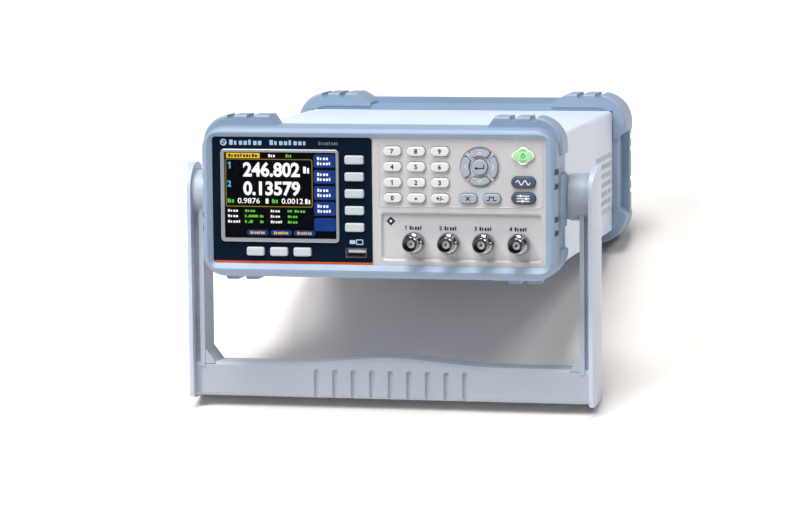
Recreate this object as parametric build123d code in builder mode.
"""Half-rack bench LCR meter: steel case, soft corner bumpers, four-terminal front panel and a tilt handle.

The model is drawn level, with its origin on the handle's pivot axis at mid width: +X to the
right as the user sees it, +Y towards the rear and +Z up. STANCE then tips it back onto the
handle and the rear bumper, the way it stands on a bench. Lengths are millimetres.
"""

from build123d import *
from math import asin, atan2, cos, degrees, hypot, pi, sin
import os

os.makedirs("parts", exist_ok=True)

# Front to back: depth of each face of the meter.
FRONT_Y = -45.0
PANEL_Y = -42.0
PANEL_THICK = 3.5
OVERLAY_THICK = 0.5
CASE_FRONT_Y = -38.0
FRONT_BUMPER_END_Y = -13.0
REAR_BUMPER_START_Y = 215.0
CASE_REAR_Y = 236.0
REAR_PANEL_THICK = 1.2
REAR_Y = 246.0

# Case section, centred on X.
CASE_HALF = 105.8
CASE_TOP = 38.0
CASE_BOTTOM = -43.5
SHEET = 1.0
CASE_BEND = 2.5
FIT = 0.2

# Soft bumpers: their plain rim and the corner guards that stand proud of it.
RIM_HALF = 112.5
RIM_TOP = 45.4
RIM_BOTTOM = -48.4
FRONT_EDGE_SOFT = 4.5
RIM_CORNER = 14.0
PANEL_HALF = 105.7
PANEL_TOP = 39.2
PANEL_BOTTOM = -40.0
FRONT_GUARD_TOP = 52.0
REAR_GUARD_TOP = 49.5
REAR_GUARD_BOTTOM = -52.9
REAR_GUARD_HALF = 115.4
REAR_EDGE_SOFT = 3.0
NUB_X = (83.7, 96.3)
NUB_BOTTOM = -51.6

# Keys: how they stand, travel and are kept behind the panel.
KEY_GAP = 0.35
KEY_TRAVEL = 0.8
KEY_FLANGE = 0.7
KEY_FLANGE_THICK = 1.0
KEY_BACK_Y = PANEL_Y + PANEL_THICK + 0.2 + KEY_FLANGE_THICK
MAT_Y = KEY_BACK_Y + KEY_TRAVEL + 0.3
NAV = (64.7, 21.7)
NAV_DISH = 13.0
ARROW_OUTER = 11.2
ARROW_INNER = 6.9
ARROW_GAP = 2.8
ARROW_CORNER = 1.2

# Test terminals: four panel jacks on the usual 22 mm pitch.
JACK_X = (22.7, 44.7, 66.7, 88.7)
JACK_Z = -25.7
JACK_TIP_Y = -54.0
JACK_BORE = 4.07
JACK_MOUTH = 3.0
JACK_SHELL = 4.85
JACK_THREAD = 4.7
RECESS_DEPTH = 1.8

# Handle and its pivot.
HUB = 14.75
HUB_START_X = 114.2
PIN = 6.0
PIN_CLEARANCE = 0.05
WEB_END_X = 120.7
STRAP_X = 127.6
STRAP_EDGE_X = 129.8
STRAP_CROWN_X = 132.5
STRAP_HALF = 17.3
STRAP_TOP = 19.6
STRAP_BOTTOM = -130.9
STRAP_CORNER = 6.0
GRIP_TOP = -107.7
GRIP_CREST = -103.1
GRIP_BOTTOM = -129.5
GRIP_HALF_DEPTH = 10.5
ARM_INNER_X = 121.2

# Fan, behind the rear panel.
FAN = (-62.0, -3.0)
FAN_SIZE = 60.0
FAN_RING = 28.3
FAN_Y = (220.0, 235.0)

# Mains inlet and its fuse drawer.
INLET = (72.0, -14.0)
DRAWER_Z = -28.2

pieces = {}


def facing_front(y):
    """A sketch plane across the meter at depth y, seen from the front."""
    return Plane.XZ.offset(-y)


def block(x, y, z, mode=Mode.ADD):
    """Add or cut a box given by its low and high limits along each axis."""
    middle = tuple((low + high) / 2 for low, high in (x, y, z))
    with Locations(middle):
        Box(x[1] - x[0], y[1] - y[0], z[1] - z[0], mode=mode)


def rod_along_y(x, z, radius, y, mode=Mode.ADD):
    """Add or cut a round bar that runs front to back."""
    with Locations(Location((x, (y[0] + y[1]) / 2, z), (90, 0, 0))):
        Cylinder(radius, y[1] - y[0], mode=mode)


def rod_along_x(y, z, radius, x, mode=Mode.ADD):
    """Add or cut a round bar that runs side to side."""
    with Locations(Location(((x[0] + x[1]) / 2, y, z), (0, 90, 0))):
        Cylinder(radius, x[1] - x[0], mode=mode)


def rod_along_z(x, y, radius, z, mode=Mode.ADD):
    """Add or cut an upright round bar."""
    with Locations((x, y, (z[0] + z[1]) / 2)):
        Cylinder(radius, z[1] - z[0], mode=mode)


def frame_rect(half_width, top, bottom, corner, mode=Mode.ADD):
    """A rounded rectangle from -half_width to half_width and from bottom to top."""
    with Locations((0, (top + bottom) / 2)):
        RectangleRounded(2 * half_width, top - bottom, corner, mode=mode)


def window_rect(x0, x1, z0, z1, corner, mode=Mode.ADD):
    """A rounded rectangle between the given limits."""
    with Locations(((x0 + x1) / 2, (z0 + z1) / 2)):
        RectangleRounded(x1 - x0, z1 - z0, corner, mode=mode)


# ---------------------------------------------------------------- keys

# name: (outline, x, z, width, height, how far the face stands off the panel)
KEYS = {}
NUMBER_ROWS = (("7", "8", "9"), ("4", "5", "6"), ("1", "2", "3"), ("0", "point", "plus_minus"))
for row, names in enumerate(NUMBER_ROWS):
    for column, key in enumerate(names):
        KEYS["key_" + key] = ("capsule", 9.7 + 15.0 * column, 31.1 - 9.67 * row, 11.7, 5.8, 1.9)
for name, x in (("key_esc", 57.3), ("key_trigger", 72.1)):
    KEYS[name] = ("capsule", x, 2.3, 11.3, 6.0, 1.9)
for name, z in (("key_measure", 12.5), ("key_setup", 2.7)):
    KEYS[name] = ("capsule", 91.9, z, 15.0, 6.8, 1.9)
for name, turn in (("key_right", 0), ("key_up", 90), ("key_left", 180), ("key_down", 270)):
    KEYS[name] = ("arrow", NAV[0], NAV[1], turn, 0.0, 1.6)
KEYS["key_enter"] = ("disc", NAV[0], NAV[1], 9.8, 9.8, 1.9)
KEYS["power_key"] = ("clover", 91.8, 28.9, 14.2, 11.3, 1.6)
for number in range(5):
    KEYS[f"soft_key_{number + 1}"] = ("square", -14.45, 25.4 - 10.5 * number, 12.1, 5.4, 2.4)
for number in range(3):
    KEYS[f"function_key_{number + 1}"] = ("square", -78.1 + 15.05 * number, -32.4, 11.3, 5.4, 2.4)


def key_outline(key, grow):
    """Draw one key's outline, made larger all round by grow."""
    outline, x, z, width, height, _ = KEYS[key]
    with Locations((x, z)):
        if outline == "capsule":
            SlotOverall(width + 2 * grow, height + 2 * grow)
        elif outline == "square":
            RectangleRounded(width + 2 * grow, height + 2 * grow, 1.2 + grow)
        elif outline == "disc":
            Circle(width / 2 + grow)
        elif outline == "clover":
            Ellipse(width / 2 + grow, 3.9 + grow)
            Ellipse(4.3 + grow, height / 2 + grow)
    if outline == "arrow":
        arrow_outline(x, z, width, grow)


def arrow_outline(x, z, turn, grow):
    """Draw one quarter of the navigation ring round (x, z), centred on the angle turn."""
    outer = ARROW_OUTER + grow
    inner = ARROW_INNER - grow
    outer_half = 45 - degrees(asin((ARROW_GAP / 2 - grow) / outer))
    inner_half = 45 - degrees(asin((ARROW_GAP / 2 - grow) / inner))

    def at(radius, angle):
        bearing = (turn + angle) * pi / 180
        return Vector(x + radius * cos(bearing), z + radius * sin(bearing))

    with BuildLine() as quarter:
        ThreePointArc(at(outer, -outer_half), at(outer, 0), at(outer, outer_half))
        Line(at(outer, outer_half), at(inner, inner_half))
        ThreePointArc(at(inner, inner_half), at(inner, 0), at(inner, -inner_half))
        Line(at(inner, -inner_half), at(outer, -outer_half))
    make_face(quarter.edges())


for key, (outline, key_x, key_z, _, _, proud) in KEYS.items():
    face_y = PANEL_Y - proud
    with BuildPart() as key_cap:
        with BuildSketch(facing_front(face_y)):
            key_outline(key, 0.0)
        extrude(amount=-(KEY_BACK_Y - face_y))
        if outline == "arrow":
            fillet(key_cap.edges().filter_by(Axis.Y), ARROW_CORNER)
        fillet(key_cap.faces().sort_by(Axis.Y)[0].edges(), 0.45 if outline in ("arrow", "clover") else 0.9)
        with BuildSketch(facing_front(KEY_BACK_Y - KEY_FLANGE_THICK)):
            key_outline(key, KEY_FLANGE)
        extrude(amount=-KEY_FLANGE_THICK)
    pieces[key] = key_cap.part

# Silicone sheet with a dome behind each key, and the switch board it lies on.
with BuildPart() as keypad_mat:
    block((-0.5, 103.5), (MAT_Y + 0.6, MAT_Y + 1.6), (-3.5, 36.2))
    block((-21.2, -7.5), (MAT_Y + 0.6, MAT_Y + 1.6), (-20.5, 29.5))
    block((-85.0, -41.0), (MAT_Y + 0.6, MAT_Y + 1.6), (-36.5, -28.8))
    for key, (outline, key_x, key_z, turn, _, _) in KEYS.items():
        reach = (ARROW_OUTER + ARROW_INNER) / 2 if outline == "arrow" else 0.0
        across = reach * cos(turn * pi / 180) if reach else 0.0
        upward = reach * sin(turn * pi / 180) if reach else 0.0
        rod_along_y(key_x + across, key_z + upward, 1.8, (MAT_Y, MAT_Y + 1.0))
pieces["keypad_mat"] = keypad_mat.part

BOARD_Y = MAT_Y + 1.6
with BuildPart() as key_board:
    block((-21.2, 104.0), (BOARD_Y, BOARD_Y + 1.6), (-4.0, 36.4))
    block((-21.2, -5.0), (BOARD_Y, BOARD_Y + 1.6), (-21.5, 0.0))
    block((-86.0, -40.0), (BOARD_Y, BOARD_Y + 1.6), (-37.0, -28.4))
pieces["key_board"] = key_board.part

# ---------------------------------------------------------------- front panel

OVERLAY_RIGHT = -3.45
FRAME_OUTER = (-100.2, -24.25, -26.5, 31.65)
FRAME_INNER = (-97.65, -25.95, -24.1, 29.75)
USB = (-13.6, -32.5)

with BuildPart() as front_panel:
    with BuildSketch(facing_front(PANEL_Y)):
        frame_rect(PANEL_HALF + 1.3, PANEL_TOP + 1.5, PANEL_BOTTOM - 1.5, 5.0)
        window_rect(*FRAME_INNER, 1.0, mode=Mode.SUBTRACT)
        with Locations(USB):
            Rectangle(14.2, 6.6, mode=Mode.SUBTRACT)
        with Locations(*((x, JACK_Z) for x in JACK_X)):
            Circle(JACK_THREAD + 0.1, mode=Mode.SUBTRACT)
    extrude(amount=-PANEL_THICK)
    with BuildSketch(facing_front(PANEL_Y)):
        for key in KEYS:
            with BuildSketch(mode=Mode.PRIVATE) as hole:
                key_outline(key, KEY_GAP)
            add(hole.sketch)
    extrude(amount=-PANEL_THICK, mode=Mode.SUBTRACT)
    # Terminal recess: a shallow tray with sloped walls.
    with BuildSketch(facing_front(PANEL_Y)):
        window_rect(2.0, 103.4, -37.2, -6.9, 2.6)
    with BuildSketch(facing_front(PANEL_Y + RECESS_DEPTH)):
        window_rect(3.2, 102.2, -36.0, -8.1, 1.6)
    loft(mode=Mode.SUBTRACT)
    # Fine groove round the key field, and the dish under the navigation keys.
    with BuildSketch(facing_front(PANEL_Y)):
        window_rect(0.6, 103.9, -3.6, 37.5, 3.0)
        window_rect(1.1, 103.4, -3.1, 37.0, 2.5, mode=Mode.SUBTRACT)
    extrude(amount=-0.35, mode=Mode.SUBTRACT)
    with BuildSketch(facing_front(PANEL_Y)):
        with Locations(NAV):
            Circle(NAV_DISH)
            Circle(ARROW_OUTER + KEY_GAP + 0.3, mode=Mode.SUBTRACT)
    extrude(amount=-0.4, mode=Mode.SUBTRACT)
pieces["front_panel"] = front_panel.part

with BuildPart() as display_overlay:
    with BuildSketch(facing_front(PANEL_Y - OVERLAY_THICK)):
        window_rect(-PANEL_HALF + 0.2, OVERLAY_RIGHT, PANEL_BOTTOM + 0.1, PANEL_TOP - 0.1, 2.1)
        window_rect(*FRAME_INNER, 1.0, mode=Mode.SUBTRACT)
        with Locations(USB):
            Rectangle(14.2, 6.6, mode=Mode.SUBTRACT)
    extrude(amount=-OVERLAY_THICK)
    with BuildSketch(facing_front(PANEL_Y - OVERLAY_THICK)):
        for key in KEYS:
            if KEYS[key][0] == "square":
                with BuildSketch(mode=Mode.PRIVATE) as hole:
                    key_outline(key, KEY_GAP)
                add(hole.sketch)
    extrude(amount=-OVERLAY_THICK, mode=Mode.SUBTRACT)
pieces["display_overlay"] = display_overlay.part

OVERLAY_Y = PANEL_Y - OVERLAY_THICK
with BuildPart() as display_frame:
    with BuildSketch(facing_front(OVERLAY_Y - 1.5)):
        window_rect(*FRAME_OUTER, 2.6)
    extrude(amount=-1.5)
    fillet(display_frame.faces().sort_by(Axis.Y)[0].edges(), 0.7)
    with BuildSketch(facing_front(OVERLAY_Y - 1.5)):
        window_rect(*FRAME_INNER, 1.0)
    extrude(amount=-1.5, mode=Mode.SUBTRACT)
pieces["display_frame"] = display_frame.part

inner_x0, inner_x1, inner_z0, inner_z1 = FRAME_INNER
with BuildPart() as display_window:
    with BuildSketch(facing_front(OVERLAY_Y - 0.6)):
        window_rect(inner_x0 + 0.05, inner_x1 - 0.05, inner_z0 + 0.05, inner_z1 - 0.05, 0.9)
    extrude(amount=-1.2)
pieces["display_window"] = display_window.part

with BuildPart() as lcd_module:
    block((inner_x0 + 0.6, inner_x1 - 0.6), (OVERLAY_Y + 0.65, -38.0), (inner_z0 + 0.6, inner_z1 - 0.6))
    block((-102.0, -22.0), (-38.3, -32.5), (-27.5, 34.0))
    block((-90.0, -34.0), (-32.5, -30.5), (-20.0, 26.0))
pieces["lcd_module"] = lcd_module.part

with BuildPart() as usb_socket:
    with BuildSketch(facing_front(OVERLAY_Y - 0.5)):
        with Locations(USB):
            RectangleRounded(13.3, 5.9, 0.7)
            RectangleRounded(12.5, 5.1, 0.4, mode=Mode.SUBTRACT)
    extrude(amount=-14.0)
    with BuildSketch(facing_front(OVERLAY_Y + 13.5)):
        with Locations(USB):
            RectangleRounded(13.3, 5.9, 0.7)
    extrude(amount=-0.4)
pieces["usb_socket"] = usb_socket.part

with BuildPart() as usb_tongue:
    block((USB[0] - 5.6, USB[0] + 5.6), (OVERLAY_Y + 1.0, OVERLAY_Y + 12.0), (USB[1] + 0.1, USB[1] + 1.9))
    block((USB[0] - 5.8, USB[0] + 5.8), (OVERLAY_Y + 12.0, OVERLAY_Y + 13.5), (USB[1] - 2.1, USB[1] + 2.1))
pieces["usb_tongue"] = usb_tongue.part

# ---------------------------------------------------------------- test terminals

RECESS_Y = PANEL_Y + RECESS_DEPTH
PANEL_BACK_Y = PANEL_Y + PANEL_THICK
JACK_BACK_Y = -30.0


def at_each_jack(profile):
    """Turn a radius-by-depth outline round each terminal's axis and return the four solids."""
    with BuildPart() as group:
        for x in JACK_X:
            with BuildSketch(Plane(origin=(x, 0, JACK_Z), x_dir=(1, 0, 0), z_dir=(0, 0, 1))):
                with BuildLine():
                    Polyline(*profile, close=True)
                make_face()
            revolve(axis=Axis((x, 0, JACK_Z), (0, 1, 0)))
    return group.part


bodies_of_jacks = at_each_jack([
    (JACK_BORE, JACK_TIP_Y), (JACK_SHELL - 0.3, JACK_TIP_Y), (JACK_SHELL, JACK_TIP_Y + 0.3),
    (JACK_SHELL, -46.2), (5.8, -45.4), (6.8, -44.0), (6.8, RECESS_Y), (JACK_THREAD, RECESS_Y),
    (JACK_THREAD, JACK_BACK_Y), (1.2, JACK_BACK_Y), (1.2, -45.0), (JACK_BORE + 0.25, -45.0),
    (JACK_BORE + 0.25, JACK_TIP_Y + JACK_MOUTH), (JACK_BORE, JACK_TIP_Y + JACK_MOUTH),
])
with BuildPart() as bnc_bodies:
    add(bodies_of_jacks)
    for jack_x in JACK_X:
        rod_along_z(jack_x, JACK_TIP_Y + 4.3, 0.95, (JACK_Z + JACK_SHELL - 0.4, JACK_Z + JACK_SHELL + 0.7))
        rod_along_z(jack_x, JACK_TIP_Y + 4.3, 0.95, (JACK_Z - JACK_SHELL - 0.7, JACK_Z - JACK_SHELL + 0.4))
pieces["bnc_bodies"] = bnc_bodies.part
pieces["bnc_insulators"] = at_each_jack([(0.75, -50.7), (2.4, -50.7), (2.4, -45.0), (0.75, -45.0)])
pieces["bnc_contacts"] = at_each_jack([
    (0.3, -50.9), (0.7, -50.9), (0.7, -27.0), (0.1, -27.0), (0.1, -47.0), (0.3, -47.0),
])
with BuildPart() as bnc_nuts:
    with BuildSketch(facing_front(PANEL_BACK_Y)):
        with Locations(*((x, JACK_Z) for x in JACK_X)):
            RegularPolygon(7.0, 6)
            Circle(JACK_THREAD + 0.05, mode=Mode.SUBTRACT)
    extrude(amount=-2.4)
pieces["bnc_nuts"] = bnc_nuts.part

# ---------------------------------------------------------------- bumpers


def corner_guards(y, half_width, top, bottom, corner, foot, head, side_low, side_high, side_slope, soft):
    """Four corner guards from one thick frame, parted by sloped gaps above, below and at the sides.

    soft gives the radius of the front edges and of the rear edges, 0 to leave them sharp.
    """
    wall = 9.0
    with BuildPart() as guards:
        with BuildSketch(facing_front(y[0])):
            frame_rect(half_width, top, bottom, corner)
            frame_rect(half_width - wall, top - wall, bottom + wall, corner - wall, mode=Mode.SUBTRACT)
            for edge, way in ((top, 1), (bottom, -1)):
                inside = edge - way * (wall + 1)
                low = edge - way * 6.6
                high = edge + way * 0.1
                with BuildLine():
                    Polyline((-foot, inside), (-foot, low), (-head, high),
                             (head, high), (foot, low), (foot, inside), close=True)
                make_face(mode=Mode.SUBTRACT)
            for side in (-1, 1):
                inner_x = side * (half_width - wall - 1)
                outer_x = side * (half_width + 1)
                with BuildLine():
                    Polyline((inner_x, side_low), (outer_x, side_low - side_slope),
                             (outer_x, side_high + side_slope), (inner_x, side_high), close=True)
                make_face(mode=Mode.SUBTRACT)
        extrude(amount=-(y[1] - y[0]))
        for group, radius in zip((0, -1), soft):
            face_edges = guards.edges().group_by(Axis.Y)[group]
            sides = face_edges.filter_by(lambda edge: abs(edge.center().X) > half_width - 0.1)
            ends = face_edges.filter_by(
                lambda edge: edge.center().Z > top - 0.1 or edge.center().Z < bottom + 0.1)
            rounds = face_edges.filter_by(GeomType.CIRCLE)
            rounds = rounds.filter_by(lambda edge: edge.radius > corner - 0.1)
            if radius:
                fillet(sides + ends + rounds, radius)
    return guards.part


def side_pockets(y_flat, y_round, face_x, depth):
    """Four shallow D-shaped pockets in each side face: flat in front, round behind."""
    for z in (19.0, 10.2, -10.2, -18.6):
        for side in (-1, 1):
            skin = (side * face_x - depth, side * face_x + depth)
            block(skin, (y_flat, y_round), (z - 1.9, z + 1.9), Mode.SUBTRACT)
            rod_along_x(y_round, z, 1.9, skin, Mode.SUBTRACT)


front_guards = corner_guards(
    (-32.0, FRONT_BUMPER_END_Y), RIM_HALF + 2.0, FRONT_GUARD_TOP, RIM_BOTTOM - 1.0,
    corner=18.0, foot=67.5, head=72.0, side_low=-28.0, side_high=26.0, side_slope=3.0, soft=(1.6, 0.0))
rear_guards = corner_guards(
    (REAR_BUMPER_START_Y, REAR_Y), REAR_GUARD_HALF, REAR_GUARD_TOP, REAR_GUARD_BOTTOM,
    corner=20.0, foot=63.7, head=74.5, side_low=-26.0, side_high=17.0, side_slope=8.0,
    soft=(1.6, REAR_EDGE_SOFT))

with BuildPart() as front_bumper:
    with BuildSketch(facing_front(FRONT_Y)):
        frame_rect(RIM_HALF, RIM_TOP, RIM_BOTTOM, RIM_CORNER)
    extrude(amount=-(FRONT_BUMPER_END_Y - FRONT_Y))
    fillet(front_bumper.faces().sort_by(Axis.Y)[0].edges(), FRONT_EDGE_SOFT)
    block((-RIM_HALF - 1.3, RIM_HALF + 1.3), (-34.0, FRONT_BUMPER_END_Y), (-16.5, 16.5))
    add(front_guards)
    for nub_x in (-NUB_X[1], -NUB_X[0], NUB_X[0], NUB_X[1]):
        with BuildSketch(facing_front(-31.0)):
            with BuildLine():
                Polyline((nub_x - 5.6, -47.0), (nub_x + 5.6, -47.0), (nub_x + 3.6, NUB_BOTTOM),
                         (nub_x - 3.6, NUB_BOTTOM), close=True)
            make_face()
        extrude(amount=-14.0)
        rod_along_y(nub_x, FRONT_GUARD_TOP - 0.9, 2.3, (-40.0, -10.0), Mode.SUBTRACT)
    # Sloped mouth, panel seat and case seat, then room for the handle's pivot bosses.
    with BuildSketch(facing_front(FRONT_Y)):
        frame_rect(PANEL_HALF + 3.1, PANEL_TOP + 2.8, PANEL_BOTTOM - 3.4, 5.0)
    with BuildSketch(facing_front(PANEL_Y - 0.6)):
        frame_rect(PANEL_HALF, PANEL_TOP, PANEL_BOTTOM, 2.0)
    loft(mode=Mode.SUBTRACT)
    with BuildSketch(facing_front(PANEL_Y - 0.6)):
        frame_rect(PANEL_HALF, PANEL_TOP, PANEL_BOTTOM, 2.0)
    extrude(amount=-1.0, mode=Mode.SUBTRACT)
    with BuildSketch(facing_front(PANEL_Y)):
        frame_rect(PANEL_HALF + 1.5, PANEL_TOP + 1.7, PANEL_BOTTOM - 1.7, 5.2)
    extrude(amount=-(CASE_FRONT_Y - PANEL_Y), mode=Mode.SUBTRACT)
    block((-CASE_HALF - FIT, CASE_HALF + FIT), (CASE_FRONT_Y, 0.0), (CASE_BOTTOM - FIT, CASE_TOP + FIT),
          Mode.SUBTRACT)
    for side in (-1, 1):
        rod_along_x(0, 0, HUB + 0.5, (side * 110 - 8, side * 110 + 8), Mode.SUBTRACT)
    side_pockets(-43.6, -36.0, RIM_HALF, 2.2)
pieces["front_bumper"] = front_bumper.part

with BuildPart() as rear_bumper:
    with BuildSketch(facing_front(REAR_Y - 11.0)):
        frame_rect(REAR_GUARD_HALF - 0.6, RIM_TOP, RIM_BOTTOM - 0.6, 16.0)
    extrude(amount=-11.0)
    fillet(rear_bumper.faces().sort_by(Axis.Y)[-1].edges(), REAR_EDGE_SOFT)
    with BuildSketch(facing_front(REAR_BUMPER_START_Y + 1.0)):
        frame_rect(CASE_HALF + 3.6, CASE_TOP + 3.4, CASE_BOTTOM - 3.4, 6.0)
    extrude(amount=-(REAR_Y - 8.0 - REAR_BUMPER_START_Y))
    add(rear_guards)
    for nub_x in (-NUB_X[1], -NUB_X[0], NUB_X[0], NUB_X[1]):
        rod_along_y(nub_x, REAR_GUARD_TOP - 0.9, 2.3, (200.0, 260.0), Mode.SUBTRACT)
    block((-CASE_HALF - FIT, CASE_HALF + FIT), (200.0, CASE_REAR_Y + REAR_PANEL_THICK),
          (CASE_BOTTOM - FIT, CASE_TOP + FIT), Mode.SUBTRACT)
    with BuildSketch(facing_front(CASE_REAR_Y)):
        frame_rect(103.0, 35.8, -41.0, 4.0)
    extrude(amount=-20.0, mode=Mode.SUBTRACT)
    side_pockets(REAR_Y - 7.0, REAR_Y - 2.0, REAR_GUARD_HALF - 0.6, 1.0)
pieces["rear_bumper"] = rear_bumper.part

# ---------------------------------------------------------------- case

VENT_ROWS, VENT_COLUMNS = 7, 9
VENT_ROW_PITCH, VENT_COLUMN_PITCH = 6.1, 6.9
VENT_FIRST = (150.6, 9.0)

with BuildPart() as top_cover:
    with BuildSketch(facing_front(CASE_FRONT_Y)):
        frame_rect(CASE_HALF, CASE_TOP, -CASE_TOP, CASE_BEND)
        frame_rect(CASE_HALF - SHEET, CASE_TOP - SHEET, -CASE_TOP + SHEET, CASE_BEND - SHEET,
                   mode=Mode.SUBTRACT)
        with Locations((0, -CASE_TOP - 10)):
            Rectangle(3 * CASE_HALF, 60, mode=Mode.SUBTRACT)
        for side in (-1, 1):
            with Locations((side * (CASE_HALF - SHEET / 2), CASE_BOTTOM / 2)):
                Rectangle(SHEET, -CASE_BOTTOM)
    extrude(amount=-(CASE_REAR_Y - CASE_FRONT_Y))
    with BuildSketch(Plane.YZ.offset(-CASE_HALF - 1)):
        with Locations((VENT_FIRST[0] + VENT_COLUMN_PITCH * (VENT_COLUMNS - 1) / 2,
                        VENT_FIRST[1] - VENT_ROW_PITCH * (VENT_ROWS - 1) / 2)):
            with GridLocations(VENT_COLUMN_PITCH, VENT_ROW_PITCH, VENT_COLUMNS, VENT_ROWS):
                RectangleRounded(3.6, 3.8, 0.8)
    extrude(amount=2 * CASE_HALF + 2, mode=Mode.SUBTRACT)
    rod_along_x(0, 0, 5.2, (-CASE_HALF - 1, CASE_HALF + 1), Mode.SUBTRACT)
pieces["top_cover"] = top_cover.part

TRAY_HALF = CASE_HALF - SHEET - 0.1
STANDOFFS = ((-92.0, -14.0), (24.0, -14.0), (-92.0, 184.0), (24.0, 184.0))
with BuildPart() as bottom_chassis:
    block((-TRAY_HALF, TRAY_HALF), (CASE_FRONT_Y, CASE_REAR_Y), (CASE_BOTTOM, CASE_BOTTOM + SHEET))
    for side in (-1, 1):
        block(sorted((side * TRAY_HALF, side * (TRAY_HALF - SHEET))), (CASE_FRONT_Y, CASE_REAR_Y),
              (CASE_BOTTOM, CASE_BOTTOM + 16))
    block((-60.0, 60.0), (-29.0, -28.0), (CASE_BOTTOM, CASE_BOTTOM + 6.5))
    for post_x, post_y in STANDOFFS:
        rod_along_z(post_x, post_y, 3.0, (CASE_BOTTOM, -36.5))
    with BuildSketch(Plane.XY.offset(CASE_BOTTOM - 1)):
        with Locations((-30, 90)):
            with GridLocations(14.0, 6.0, 5, 7):
                SlotOverall(9.0, 2.6)
    extrude(amount=SHEET + 2, mode=Mode.SUBTRACT)
pieces["bottom_chassis"] = bottom_chassis.part

# ---------------------------------------------------------------- rear panel, fan, inlet, ports

REAR_FACE_Y = CASE_REAR_Y + REAR_PANEL_THICK
SCREW_SPOTS = ((-99.0, 31.5), (99.0, 31.5), (-99.0, -36.5), (99.0, -36.5), (0.0, 31.5), (0.0, -36.5))
SCREW_SHANK = 1.9
PORTS = {
    "serial": (-8.0, 14.0, 16.6, 8.2),
    "handler": (4.0, -14.0, 39.0, 8.2),
    "host_link": (32.0, 14.0, 12.0, 10.8),
}

with BuildPart() as rear_panel:
    block((-TRAY_HALF, TRAY_HALF), (CASE_REAR_Y, REAR_FACE_Y),
          (CASE_BOTTOM + SHEET + 0.1, CASE_TOP - SHEET - 0.2))
    with BuildSketch(facing_front(CASE_REAR_Y)):
        with Locations(*SCREW_SPOTS):
            Circle(SCREW_SHANK + 0.1)
        with Locations(INLET):
            Rectangle(28.6, 20.6)
        with Locations((INLET[0], DRAWER_Z)):
            Rectangle(22.6, 8.0)
        for port_x, port_z, width, height in PORTS.values():
            with Locations((port_x, port_z)):
                RectangleRounded(width + 0.4, height + 0.4, 1.2)
        with Locations(FAN):
            for radius in (8.0, 13.0, 18.0, 23.0, 27.8):
                Circle(radius)
                Circle(radius - 3.4, mode=Mode.SUBTRACT)
            with PolarLocations(0, 4, start_angle=45):
                Rectangle(60, 2.2, mode=Mode.SUBTRACT)
            Circle(4.0, mode=Mode.SUBTRACT)
    extrude(amount=-REAR_PANEL_THICK, mode=Mode.SUBTRACT)
pieces["rear_panel"] = rear_panel.part

with BuildPart() as cover_screws:
    for screw_x, screw_z in SCREW_SPOTS:
        rod_along_y(screw_x, screw_z, SCREW_SHANK, (CASE_REAR_Y - 5.0, REAR_FACE_Y + 0.5))
        rod_along_y(screw_x, screw_z, 3.6, (REAR_FACE_Y, REAR_FACE_Y + 1.8))
        for along, across in ((2.0, 0.45), (0.45, 2.0)):
            block((screw_x - along, screw_x + along), (REAR_FACE_Y + 0.9, REAR_FACE_Y + 2.0),
                  (screw_z - across, screw_z + across), Mode.SUBTRACT)
pieces["cover_screws"] = cover_screws.part

with BuildPart() as fan_frame:
    with BuildSketch(facing_front(FAN_Y[0])):
        with Locations(FAN):
            RectangleRounded(FAN_SIZE, FAN_SIZE, 4.0)
            Circle(FAN_RING, mode=Mode.SUBTRACT)
            with GridLocations(50, 50, 2, 2):
                Circle(2.2, mode=Mode.SUBTRACT)
    extrude(amount=-(FAN_Y[1] - FAN_Y[0]))
    with BuildSketch(facing_front(FAN_Y[0])):
        with Locations(FAN):
            Circle(13.0)
            with PolarLocations(0, 3, start_angle=30):
                with Locations((20.5, 0)):
                    Rectangle(19.0, 3.0)
    extrude(amount=-2.0)
    rod_along_y(FAN[0], FAN[1], 3.0, (FAN_Y[0], FAN_Y[0] + 9.0))
pieces["fan_frame"] = fan_frame.part

ROTOR_Y = (FAN_Y[0] + 2.6, FAN_Y[1] - 1.0)
ROTOR_MIDDLE_Y = (ROTOR_Y[0] + ROTOR_Y[1]) / 2
BLADE_COUNT = 7
with BuildPart() as hub_and_blade:
    rod_along_y(FAN[0], FAN[1], 13.5, ROTOR_Y)
    with BuildSketch(Plane(origin=(FAN[0], ROTOR_MIDDLE_Y, FAN[1]), x_dir=(0, 1, 0), z_dir=(1, 0, 0))):
        Rectangle(ROTOR_Y[1] - ROTOR_Y[0] - 1.5, 1.5, rotation=38)
    extrude(amount=27.3)
with BuildPart() as fan_rotor:
    for number in range(BLADE_COUNT):
        add(hub_and_blade.part.rotate(Axis((FAN[0], 0, FAN[1]), (0, 1, 0)), number * 360 / BLADE_COUNT))
    rod_along_y(FAN[0], FAN[1], 3.0 + PIN_CLEARANCE, (ROTOR_Y[0] - 1.0, FAN_Y[0] + 9.4), Mode.SUBTRACT)
pieces["fan_rotor"] = fan_rotor.part

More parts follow.
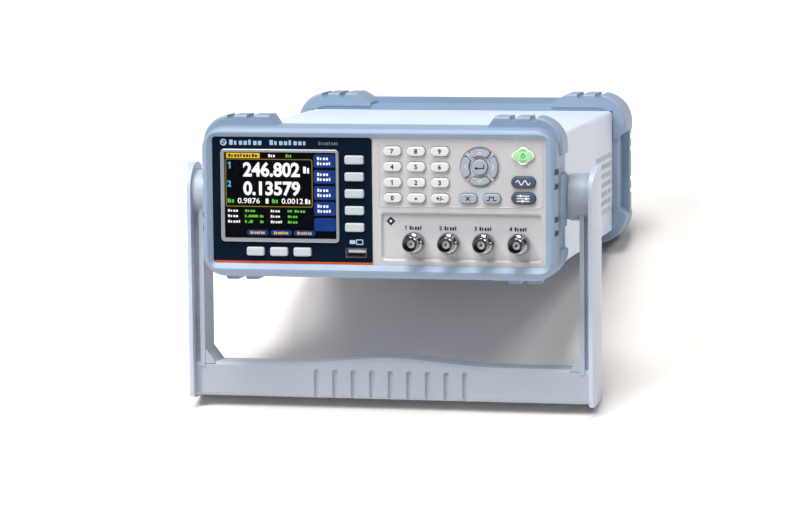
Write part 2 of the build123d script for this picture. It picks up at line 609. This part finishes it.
inlet_x, inlet_z = INLET
INLET_CAVITY_END_Y = 225.5
INLET_MOUTH = ((-12, -8), (12, -8), (12, 3.5), (7.5, 8), (-7.5, 8), (-12, 3.5))
INLET_PINS = ((-7.0, -2.5), (0.0, 2.5), (7.0, -2.5))
with BuildPart() as mains_inlet:
    block((inlet_x - 14.1, inlet_x + 14.1), (222.0, REAR_FACE_Y), (inlet_z - 10.1, inlet_z + 10.1))
    block((inlet_x - 16.0, inlet_x + 16.0), (REAR_FACE_Y, REAR_FACE_Y + 2.2),
          (inlet_z - 20.5, inlet_z + 12.0))
    block((inlet_x - 13.0, inlet_x + 13.0), (206.0, CASE_REAR_Y - 0.2), (DRAWER_Z - 5.4, inlet_z - 10.1))
    with BuildSketch(facing_front(INLET_CAVITY_END_Y)):
        with BuildLine():
            Polyline(*((inlet_x + x, inlet_z + z) for x, z in INLET_MOUTH), close=True)
        make_face()
    extrude(amount=-(REAR_FACE_Y + 3 - INLET_CAVITY_END_Y), mode=Mode.SUBTRACT)
    for pin_x, pin_z in INLET_PINS:
        block((inlet_x + pin_x - 1, inlet_x + pin_x + 1),
              (INLET_CAVITY_END_Y - 1, INLET_CAVITY_END_Y + 8.5),
              (inlet_z + pin_z - 2, inlet_z + pin_z + 2))
    block((inlet_x - 11.0, inlet_x + 11.0), (207.5, REAR_FACE_Y + 3), (DRAWER_Z - 3.7, DRAWER_Z + 3.7),
          Mode.SUBTRACT)
pieces["mains_inlet"] = mains_inlet.part

with BuildPart() as fuse_drawer:
    block((inlet_x - 10.8, inlet_x + 10.8), (208.0, REAR_FACE_Y + 2.8), (DRAWER_Z - 3.5, DRAWER_Z + 3.5))
    block((inlet_x - 3.0, inlet_x + 3.0), (REAR_FACE_Y + 2.8, REAR_FACE_Y + 4.0),
          (DRAWER_Z - 2.9, DRAWER_Z - 1.9))
    block((inlet_x - 9.0, inlet_x + 9.0), (210.0, REAR_FACE_Y - 3.0), (DRAWER_Z - 2.0, DRAWER_Z + 4.0),
          Mode.SUBTRACT)
pieces["fuse_drawer"] = fuse_drawer.part

with BuildPart() as rear_ports:
    for port, (port_x, port_z, width, height) in PORTS.items():
        with BuildSketch(facing_front(226.0)):
            with Locations((port_x, port_z)):
                RectangleRounded(width, height, 1.0)
        extrude(amount=-(REAR_FACE_Y + 3.4 - 226.0))
        with BuildSketch(facing_front(REAR_FACE_Y)):
            with Locations((port_x, port_z)):
                RectangleRounded(width + (14.0 if port != "host_link" else 2.0), height + 4.0, 1.5)
        extrude(amount=-0.8)
        with BuildSketch(facing_front(REAR_FACE_Y - 3.0)):
            with Locations((port_x, port_z)):
                RectangleRounded(width - 1.6, height - 1.6, 0.6)
                if port == "host_link":
                    Rectangle(5.6, 3.2, mode=Mode.SUBTRACT)
        extrude(amount=-8.0, mode=Mode.SUBTRACT)
pieces["rear_ports"] = rear_ports.part

# ---------------------------------------------------------------- boards inside

with BuildPart() as main_board:
    block((-98.0, 30.0), (-20.0, 190.0), (-36.5, -34.9))
    for chip_x, chip_y, wide, deep, high in (
            (-60, 30, 28, 28, 3), (-20, 30, 14, 20, 2.5), (-70, 90, 20, 16, 12), (-40, 90, 20, 16, 12),
            (-10, 90, 20, 16, 12), (10, 130, 16, 24, 9), (-60, 150, 40, 12, 8), (0, 60, 24, 10, 3)):
        block((chip_x - wide / 2, chip_x + wide / 2), (chip_y - deep / 2, chip_y + deep / 2),
              (-35.5, -34.9 + high))
    for cap_x, cap_y in ((-88, 20), (-88, 34), (-88, 48), (22, 20), (22, 160)):
        rod_along_z(cap_x, cap_y, 5.0, (-35.5, -20.0))
pieces["main_board"] = main_board.part

with BuildPart() as power_supply:
    block((40.0, 98.0), (30.0, 190.0), (-36.5, -34.9))
    block((46.0, 84.0), (60.0, 100.0), (-35.5, -6.0))
    block((44.0, 47.0), (110.0, 170.0), (-35.5, -8.0))
    for cap_y in (120.0, 145.0):
        rod_along_z(78.0, cap_y, 10.5, (-35.5, -6.0))
    for post_x, post_y in ((44.0, 36.0), (94.0, 36.0), (44.0, 184.0), (94.0, 184.0)):
        rod_along_z(post_x, post_y, 3.0, (CASE_BOTTOM + SHEET, -36.0))
pieces["power_supply"] = power_supply.part

# ---------------------------------------------------------------- handle


def strap_outline():
    """The arm seen from the side: a round head over the pivot and a long, slightly narrowing strap."""
    head = STRAP_HALF
    foot = STRAP_HALF - 1.3
    bottom = STRAP_BOTTOM
    corner = STRAP_CORNER
    with BuildLine() as outline:
        FilletPolyline(
            (-head, 0), (-foot, bottom), (foot, bottom), (head, 0), radius=corner)
        ThreePointArc((head, 0), (0, STRAP_TOP), (-head, 0))
    make_face(outline.edges())


with BuildPart() as strap_section:
    for side in (-1, 1):
        with BuildSketch(Plane.XY.offset(STRAP_BOTTOM - 2)):
            with BuildLine():
                Polyline((side * STRAP_EDGE_X, -STRAP_HALF), (side * STRAP_X, -STRAP_HALF),
                         (side * STRAP_X, STRAP_HALF), (side * STRAP_EDGE_X, STRAP_HALF))
                ThreePointArc((side * STRAP_EDGE_X, STRAP_HALF), (side * STRAP_CROWN_X, 0),
                              (side * STRAP_EDGE_X, -STRAP_HALF))
            make_face()
    extrude(amount=STRAP_TOP - STRAP_BOTTOM + 4)
with BuildPart() as arm_covers:
    with BuildSketch(Plane.YZ.offset(-STRAP_CROWN_X - 1)):
        strap_outline()
    extrude(amount=2 * STRAP_CROWN_X + 2)
    add(strap_section.part, mode=Mode.INTERSECT)
    # The straps thin towards their feet, as the front view shows.
    with BuildSketch(facing_front(-30)):
        for side in (-1, 1):
            with BuildLine():
                toe = side * (STRAP_CROWN_X - 2.2)
                Line((side * (STRAP_CROWN_X + 3), -100), (side * (STRAP_CROWN_X + 0.1), -100))
                ThreePointArc((side * (STRAP_CROWN_X + 0.1), -100), (side * (STRAP_CROWN_X - 0.6), -117),
                              (toe, STRAP_BOTTOM - 1))
                Line((toe, STRAP_BOTTOM - 1), (side * (STRAP_CROWN_X + 3), STRAP_BOTTOM - 1))
                Line((side * (STRAP_CROWN_X + 3), STRAP_BOTTOM - 1), (side * (STRAP_CROWN_X + 3), -100))
            make_face()
    extrude(amount=-60, mode=Mode.SUBTRACT)
pieces["arm_covers"] = arm_covers.part

GROOVE_COUNT, GROOVE_PITCH, GROOVE_TOP = 9, 12.0, -112.5
with BuildPart() as handle:
    # Grip bar, seen from the front, with a gentle crest in the middle.
    with BuildSketch(facing_front(-GRIP_HALF_DEPTH)):
        with BuildLine():
            Line((-STRAP_X, GRIP_TOP), (-STRAP_X, GRIP_BOTTOM))
            Line((-STRAP_X, GRIP_BOTTOM), (STRAP_X, GRIP_BOTTOM))
            Line((STRAP_X, GRIP_BOTTOM), (STRAP_X, GRIP_TOP))
            Line((STRAP_X, GRIP_TOP), (72, GRIP_TOP))
            Spline((72, GRIP_TOP), (0, GRIP_CREST), (-72, GRIP_TOP), tangents=((-1, 0), (-1, 0)))
            Line((-72, GRIP_TOP), (-STRAP_X, GRIP_TOP))
        make_face()
    extrude(amount=-2 * GRIP_HALF_DEPTH)
    long_edges = handle.edges().filter_by(lambda edge: edge.bounding_box().size.X > 40)
    chamfer(long_edges.filter_by(lambda edge: edge.center().Z > -115), 1.8)
    fillet(handle.edges().filter_by(lambda edge: edge.length > 200 and edge.center().Z < -120), 3.0)
    # Finger grooves in the front and back faces, open at the bottom edge.
    for number in range(GROOVE_COUNT):
        groove_x = (number - (GROOVE_COUNT - 1) / 2) * GROOVE_PITCH
        for face_y in (-GRIP_HALF_DEPTH, GRIP_HALF_DEPTH):
            rod_along_z(groove_x, face_y, 1.9, (GRIP_BOTTOM - 1, GROOVE_TOP), Mode.SUBTRACT)
            with Locations((groove_x, face_y, GROOVE_TOP)):
                Sphere(1.9, mode=Mode.SUBTRACT)
    for side in (-1, 1):
        # Arm: inner rib, ribbed strip behind it and the hub that turns on the pivot.
        block(sorted((side * ARM_INNER_X, side * (ARM_INNER_X + 3.0))), (-11.0, 11.0), (GRIP_TOP - 3, 0.0))
        block(sorted((side * (ARM_INNER_X + 3.0), side * STRAP_X)), (-8.0, 8.0), (GRIP_TOP - 3, 0.0))
        with BuildSketch(facing_front(-GRIP_HALF_DEPTH)):
            with BuildLine():
                Polyline((side * (ARM_INNER_X + 1), GRIP_TOP - 1),
                         (side * (ARM_INNER_X - 6.5), GRIP_TOP - 1),
                         (side * (ARM_INNER_X - 6.5), GRIP_TOP),
                         (side * ARM_INNER_X, GRIP_TOP + 8.5),
                         (side * (ARM_INNER_X + 1), GRIP_TOP + 8.5), close=True)
            make_face()
        extrude(amount=-2 * GRIP_HALF_DEPTH)
        rod_along_x(0, 0, HUB, sorted((side * HUB_START_X, side * STRAP_X)))
        rod_along_x(0, 0, PIN + PIN_CLEARANCE, sorted((side * 100, side * 125)), Mode.SUBTRACT)
        rod_along_x(0, 0, 9.0, sorted((side * WEB_END_X, side * (STRAP_X + 1))), Mode.SUBTRACT)
pieces["handle"] = handle.part

with BuildPart() as pivot_bases:
    for side in (-1, 1):
        rod_along_x(0, 0, 14.2, sorted((side * CASE_HALF, side * (HUB_START_X - 0.3))))
        rod_along_x(0, 0, PIN, sorted((side * CASE_HALF, side * (WEB_END_X + 0.2))))
        rod_along_x(0, 0, 5.0, sorted((side * (CASE_HALF - 3.0), side * CASE_HALF)))
        rod_along_x(0, 0, 2.05, sorted((side * (CASE_HALF - 4), side * 125)), Mode.SUBTRACT)
pieces["pivot_bases"] = pivot_bases.part

with BuildPart() as pivot_screws:
    for side in (-1, 1):
        rod_along_x(0, 0, 2.0, sorted((side * 104.0, side * 124.0)))
        rod_along_x(0, 0, 8.5, sorted((side * (WEB_END_X + 0.2), side * (WEB_END_X + 1.3))))
        rod_along_x(0, 0, 3.8, sorted((side * (WEB_END_X + 1.0), side * (WEB_END_X + 4.0))))
        for along, across in ((2.2, 0.5), (0.5, 2.2)):
            block(sorted((side * (WEB_END_X + 2.6), side * (WEB_END_X + 4.5))),
                  (-along, along), (-across, across), Mode.SUBTRACT)
pieces["pivot_screws"] = pivot_screws.part

# ---------------------------------------------------------------- stance and files

# The meter leans back until the handle's rear lower corners and the rear bumper's lower edge
# are level. Each is a rounded corner, given by the centre and radius of its round.
handle_corner = (STRAP_HALF - 1.3 - STRAP_CORNER, STRAP_BOTTOM + STRAP_CORNER, STRAP_CORNER)
bumper_corner = (REAR_Y - REAR_EDGE_SOFT, REAR_GUARD_BOTTOM + REAR_EDGE_SOFT, REAR_EDGE_SOFT)
run = bumper_corner[0] - handle_corner[0]
rise = bumper_corner[1] - handle_corner[1]
TILT = degrees(atan2(rise, run) + asin((handle_corner[2] - bumper_corner[2]) / hypot(run, rise)))

lean = Rotation(-TILT, 0, 0)
leaning = Compound(children=[(lean * part) for part in pieces.values()]).bounding_box()
SHIFT = (-(leaning.min.X + leaning.max.X) / 2, -(leaning.min.Y + leaning.max.Y) / 2, -leaning.min.Z)
STANCE = Pos(*SHIFT) * lean

print("tilt in degrees", TILT, "pivot axis at", SHIFT, "size", leaning.size)
for name, part in pieces.items():
    placed = STANCE * part
    placed.label = name
    export_step(placed, f"parts/{name}.step")
